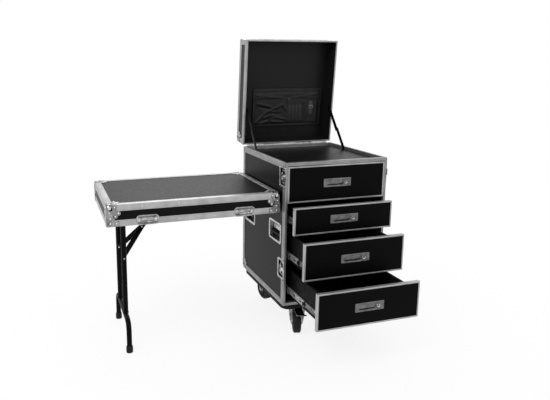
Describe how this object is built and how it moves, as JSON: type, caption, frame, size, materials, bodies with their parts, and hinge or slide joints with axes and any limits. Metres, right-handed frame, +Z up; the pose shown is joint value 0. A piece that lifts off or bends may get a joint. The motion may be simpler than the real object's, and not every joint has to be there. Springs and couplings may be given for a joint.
{
  "type": "road case with drawers",
  "caption": "Upright road case on castors with pull-out drawers, a lid held open by stays, and a front cover hung on its side as a table on a folding leg.",
  "frame": {"origin": "middle of the whole object's footprint, at floor level", "axes": "+X to the right seen from the front, +Y to the back, +Z up"},
  "size_m": [1.389, 1.0348, 1.4923],
  "materials": {
    "aluminium": "extruded and anodised, satin",
    "black_laminate": "fine pebbled laminate on plywood",
    "black_plywood": "stained black, matt",
    "zinc_steel": "zinc plated",
    "black_steel": "black powder coat",
    "black_fabric": "woven nylon",
    "grip_rubber": "moulded, matt",
    "wheel_tread": "moulded, matt"
  },
  "bodies": {
    "case": {"left_side_panel": "black_laminate", "right_side_panel": "black_laminate", "back_panel": "black_laminate", "bottom_panel": "black_plywood", "worktop": "black_laminate", "body_edge_frame": "aluminium", "castor_board": "black_plywood", "lid_hinge_body_leaf": "zinc_steel", "table_hanging_rail": "zinc_steel"},
    "lid": {"lid_shell": "black_laminate", "lid_edge_frame": "aluminium", "tool_pocket": "black_fabric", "lid_hinge_lid_leaf": "zinc_steel"},
    "table": {"cover_shell": "black_laminate", "cover_edge_frame": "aluminium", "leg_bracket": "black_steel"},
    "leg": {"leg_frame": "black_steel"},
    "leg_brace": {"leg_brace": "black_steel"},
    "left_lower_lid_stay": {"left_lower_lid_stay": "black_steel"},
    "left_upper_lid_stay": {"left_upper_lid_stay": "black_steel"},
    "right_lower_lid_stay": {"right_lower_lid_stay": "black_steel"},
    "right_upper_lid_stay": {"right_upper_lid_stay": "black_steel"},
    "top_drawer": {"top_drawer_box": "black_plywood", "top_drawer_front": "black_laminate"},
    "top_drawer_slides": {"top_drawer_left_slide": "zinc_steel", "top_drawer_right_slide": "zinc_steel"},
    "top_drawer_latch_knob": {"top_drawer_latch_knob": "zinc_steel"},
    "second_drawer": {"second_drawer_box": "black_plywood", "second_drawer_front": "black_laminate"},
    "second_drawer_slides": {"second_drawer_left_slide": "zinc_steel", "second_drawer_right_slide": "zinc_steel"},
    "second_drawer_latch_knob": {"second_drawer_latch_knob": "zinc_steel"},
    "third_drawer": {"third_drawer_box": "black_plywood", "third_drawer_front": "black_laminate"},
    "third_drawer_slides": {"third_drawer_left_slide": "zinc_steel", "third_drawer_right_slide": "zinc_steel"},
    "third_drawer_latch_knob": {"third_drawer_latch_knob": "zinc_steel"},
    "bottom_drawer": {"bottom_drawer_box": "black_plywood", "bottom_drawer_front": "black_laminate"},
    "bottom_drawer_slides": {"bottom_drawer_left_slide": "zinc_steel", "bottom_drawer_right_slide": "zinc_steel"},
    "bottom_drawer_latch_knob": {"bottom_drawer_latch_knob": "zinc_steel"},
    "left_front_handle_grip": {"left_front_handle_grip": "grip_rubber"},
    "left_rear_handle_grip": {"left_rear_handle_grip": "grip_rubber"},
    "right_front_handle_grip": {"right_front_handle_grip": "grip_rubber"},
    "right_rear_handle_grip": {"right_rear_handle_grip": "grip_rubber"},
    "left_lower_latch_wing": {"left_lower_latch_wing": "zinc_steel"},
    "left_upper_latch_wing": {"left_upper_latch_wing": "zinc_steel"},
    "right_lower_latch_wing": {"right_lower_latch_wing": "zinc_steel"},
    "right_upper_latch_wing": {"right_upper_latch_wing": "zinc_steel"},
    "front_left_castor": {"front_left_castor_fork": "zinc_steel"},
    "front_left_castor_wheel": {"front_left_castor_wheel": "wheel_tread"},
    "front_left_brake_pedal": {"front_left_brake_pedal": "black_steel"},
    "front_right_castor": {"front_right_castor_fork": "zinc_steel"},
    "front_right_castor_wheel": {"front_right_castor_wheel": "wheel_tread"},
    "front_right_brake_pedal": {"front_right_brake_pedal": "black_steel"},
    "rear_left_castor": {"rear_left_castor_fork": "zinc_steel"},
    "rear_left_castor_wheel": {"rear_left_castor_wheel": "wheel_tread"},
    "rear_right_castor": {"rear_right_castor_fork": "zinc_steel"},
    "rear_right_castor_wheel": {"rear_right_castor_wheel": "wheel_tread"}
  },
  "joints": [
    {"name": "lid_hinge", "type": "hinge", "parent": "case", "child": "lid", "pos_m": [0.4165, 0.40437, 0.898], "axis": [1, 0, 0], "range_deg": [0, 85.2]},
    {"name": "left_lower_lid_stay_pivot", "type": "hinge", "parent": "case", "child": "left_lower_lid_stay", "pos_m": [0.4165, 0.22337, 0.89], "axis": [1, 0, 0], "range_deg": [-46.15, 0]},
    {"name": "left_upper_lid_stay_pivot", "type": "hinge", "parent": "lid", "child": "left_upper_lid_stay", "pos_m": [0.4165, 0.39519, 1.10295], "axis": [1, 0, 0], "range_deg": [0, 41.71]},
    {"name": "right_lower_lid_stay_pivot", "type": "hinge", "parent": "case", "child": "right_lower_lid_stay", "pos_m": [0.4165, 0.22337, 0.89], "axis": [1, 0, 0], "range_deg": [-46.15, 0]},
    {"name": "right_upper_lid_stay_pivot", "type": "hinge", "parent": "lid", "child": "right_upper_lid_stay", "pos_m": [0.4165, 0.39519, 1.10295], "axis": [1, 0, 0], "range_deg": [0, 41.71]},
    {"name": "top_drawer_travel", "type": "slide", "parent": "case", "child": "top_drawer", "axis": [0, -1, 0], "range_m": [0, 0.48]},
    {"name": "top_drawer_slide_travel", "type": "slide", "parent": "case", "child": "top_drawer_slides", "axis": [0, -1, 0], "range_m": [0, 0.24]},
    {"name": "top_drawer_latch_push", "type": "slide", "parent": "top_drawer", "child": "top_drawer_latch_knob", "axis": [0, 1, 0], "range_m": [0, 0.003], "stiffness_N_per_m": 400, "springref_m": -0.002},
    {"name": "second_drawer_travel", "type": "slide", "parent": "case", "child": "second_drawer", "axis": [0, -1, 0], "range_m": [-0.079, 0.401]},
    {"name": "second_drawer_slide_travel", "type": "slide", "parent": "case", "child": "second_drawer_slides", "axis": [0, -1, 0], "range_m": [-0.0395, 0.2005]},
    {"name": "second_drawer_latch_push", "type": "slide", "parent": "second_drawer", "child": "second_drawer_latch_knob", "axis": [0, 1, 0], "range_m": [0, 0.003], "stiffness_N_per_m": 400, "springref_m": -0.002},
    {"name": "third_drawer_travel", "type": "slide", "parent": "case", "child": "third_drawer", "axis": [0, -1, 0], "range_m": [-0.192, 0.288]},
    {"name": "third_drawer_slide_travel", "type": "slide", "parent": "case", "child": "third_drawer_slides", "axis": [0, -1, 0], "range_m": [-0.096, 0.144]},
    {"name": "third_drawer_latch_push", "type": "slide", "parent": "third_drawer", "child": "third_drawer_latch_knob", "axis": [0, 1, 0], "range_m": [0, 0.003], "stiffness_N_per_m": 400, "springref_m": -0.002},
    {"name": "bottom_drawer_travel", "type": "slide", "parent": "case", "child": "bottom_drawer", "axis": [0, -1, 0], "range_m": [-0.329, 0.151]},
    {"name": "bottom_drawer_slide_travel", "type": "slide", "parent": "case", "child": "bottom_drawer_slides", "axis": [0, -1, 0], "range_m": [-0.1645, 0.0755]},
    {"name": "bottom_drawer_latch_push", "type": "slide", "parent": "bottom_drawer", "child": "bottom_drawer_latch_knob", "axis": [0, 1, 0], "range_m": [0, 0.003], "stiffness_N_per_m": 400, "springref_m": -0.002},
    {"name": "left_front_handle_lift", "type": "hinge", "parent": "case", "child": "left_front_handle_grip", "pos_m": [0.155, -0.06463, 0.5682], "axis": [0, 1, 0], "range_deg": [0, 90], "stiffness_Nm_per_rad": 0.3, "springref_deg": -17.19},
    {"name": "left_rear_handle_lift", "type": "hinge", "parent": "case", "child": "left_rear_handle_grip", "pos_m": [0.155, 0.28337, 0.5682], "axis": [0, 1, 0], "range_deg": [0, 90], "stiffness_Nm_per_rad": 0.3, "springref_deg": -17.19},
    {"name": "right_front_handle_lift", "type": "hinge", "parent": "case", "child": "right_front_handle_grip", "pos_m": [0.678, -0.06463, 0.5682], "axis": [0, -1, 0], "range_deg": [0, 90], "stiffness_Nm_per_rad": 0.3, "springref_deg": -17.19},
    {"name": "right_rear_handle_lift", "type": "hinge", "parent": "case", "child": "right_rear_handle_grip", "pos_m": [0.678, 0.28337, 0.5682], "axis": [0, -1, 0], "range_deg": [0, 90], "stiffness_Nm_per_rad": 0.3, "springref_deg": -17.19},
    {"name": "left_lower_latch_turn", "type": "hinge", "parent": "case", "child": "left_lower_latch_wing", "pos_m": [0.1433, -0.14313, 0.366], "axis": [-1, 0, 0], "range_deg": [0, 180]},
    {"name": "left_upper_latch_turn", "type": "hinge", "parent": "case", "child": "left_upper_latch_wing", "pos_m": [0.1433, -0.14313, 0.826], "axis": [-1, 0, 0], "range_deg": [0, 180]},
    {"name": "right_lower_latch_turn", "type": "hinge", "parent": "case", "child": "right_lower_latch_wing", "pos_m": [0.6897, -0.14313, 0.366], "axis": [1, 0, 0], "range_deg": [0, 180]},
    {"name": "right_upper_latch_turn", "type": "hinge", "parent": "case", "child": "right_upper_latch_wing", "pos_m": [0.6897, -0.14313, 0.826], "axis": [1, 0, 0], "range_deg": [0, 180]},
    {"name": "front_left_castor_swivel", "type": "hinge", "parent": "case", "child": "front_left_castor", "pos_m": [0.2635, -0.08063, 0], "axis": [0, 0, 1], "continuous": true},
    {"name": "front_left_castor_roll", "type": "hinge", "parent": "front_left_castor", "child": "front_left_castor_wheel", "pos_m": [0.25153, -0.11352, 0.0625], "axis": [-0.9397, 0.342, 0], "continuous": true},
    {"name": "front_left_brake_press", "type": "hinge", "parent": "front_left_castor", "child": "front_left_brake_pedal", "pos_m": [0.2488, -0.121, 0.1417], "axis": [0.9397, -0.342, 0], "range_deg": [0, 11]},
    {"name": "front_right_castor_swivel", "type": "hinge", "parent": "case", "child": "front_right_castor", "pos_m": [0.5695, -0.08063, 0], "axis": [0, 0, 1], "continuous": true},
    {"name": "front_right_castor_roll", "type": "hinge", "parent": "front_right_castor", "child": "front_right_castor_wheel", "pos_m": [0.57316, -0.11544, 0.0625], "axis": [-0.9945, -0.1045, 0], "continuous": true},
    {"name": "front_right_brake_press", "type": "hinge", "parent": "front_right_castor", "child": "front_right_brake_pedal", "pos_m": [0.57399, -0.12336, 0.1417], "axis": [0.9945, 0.1045, 0], "range_deg": [0, 11]},
    {"name": "rear_left_castor_swivel", "type": "hinge", "parent": "case", "child": "rear_left_castor", "pos_m": [0.2635, 0.29537, 0], "axis": [0, 0, 1], "continuous": true},
    {"name": "rear_left_castor_roll", "type": "hinge", "parent": "rear_left_castor", "child": "rear_left_castor_wheel", "pos_m": [0.25803, 0.32994, 0.0625], "axis": [0.9877, 0.1564, 0], "continuous": true},
    {"name": "rear_right_castor_swivel", "type": "hinge", "parent": "case", "child": "rear_right_castor", "pos_m": [0.5695, 0.29537, 0], "axis": [0, 0, 1], "continuous": true},
    {"name": "rear_right_castor_roll", "type": "hinge", "parent": "rear_right_castor", "child": "rear_right_castor_wheel", "pos_m": [0.57437, 0.33003, 0.0625], "axis": [0.9903, -0.1392, 0], "continuous": true},
    {"name": "table_lift_off", "type": "slide", "parent": "case", "child": "table", "axis": [0, 0, 1], "range_m": [0, 0.06]},
    {"name": "leg_fold", "type": "hinge", "parent": "table", "child": "leg", "pos_m": [-0.5975, 0.13137, 0.7], "axis": [0, -1, 0], "range_deg": [0, 87.5]},
    {"name": "leg_brace_fold", "type": "hinge", "parent": "leg", "child": "leg_brace", "pos_m": [-0.5975, 0.13137, 0.44], "axis": [0, 1, 0], "range_deg": [0, 131.41]}
  ],
  "couplings": [
    {"joint": "left_lower_lid_stay_pivot", "follows": "lid_hinge", "ratio": -0.54157},
    {"joint": "left_upper_lid_stay_pivot", "follows": "lid_hinge", "ratio": 0.48939},
    {"joint": "right_lower_lid_stay_pivot", "follows": "lid_hinge", "ratio": -0.54157},
    {"joint": "right_upper_lid_stay_pivot", "follows": "lid_hinge", "ratio": 0.48939},
    {"joint": "top_drawer_slide_travel", "follows": "top_drawer_travel", "ratio": 0.5},
    {"joint": "second_drawer_slide_travel", "follows": "second_drawer_travel", "ratio": 0.5},
    {"joint": "third_drawer_slide_travel", "follows": "third_drawer_travel", "ratio": 0.5},
    {"joint": "bottom_drawer_slide_travel", "follows": "bottom_drawer_travel", "ratio": 0.5},
    {"joint": "leg_brace_fold", "follows": "leg_fold", "ratio": 1.5017}
  ]
}
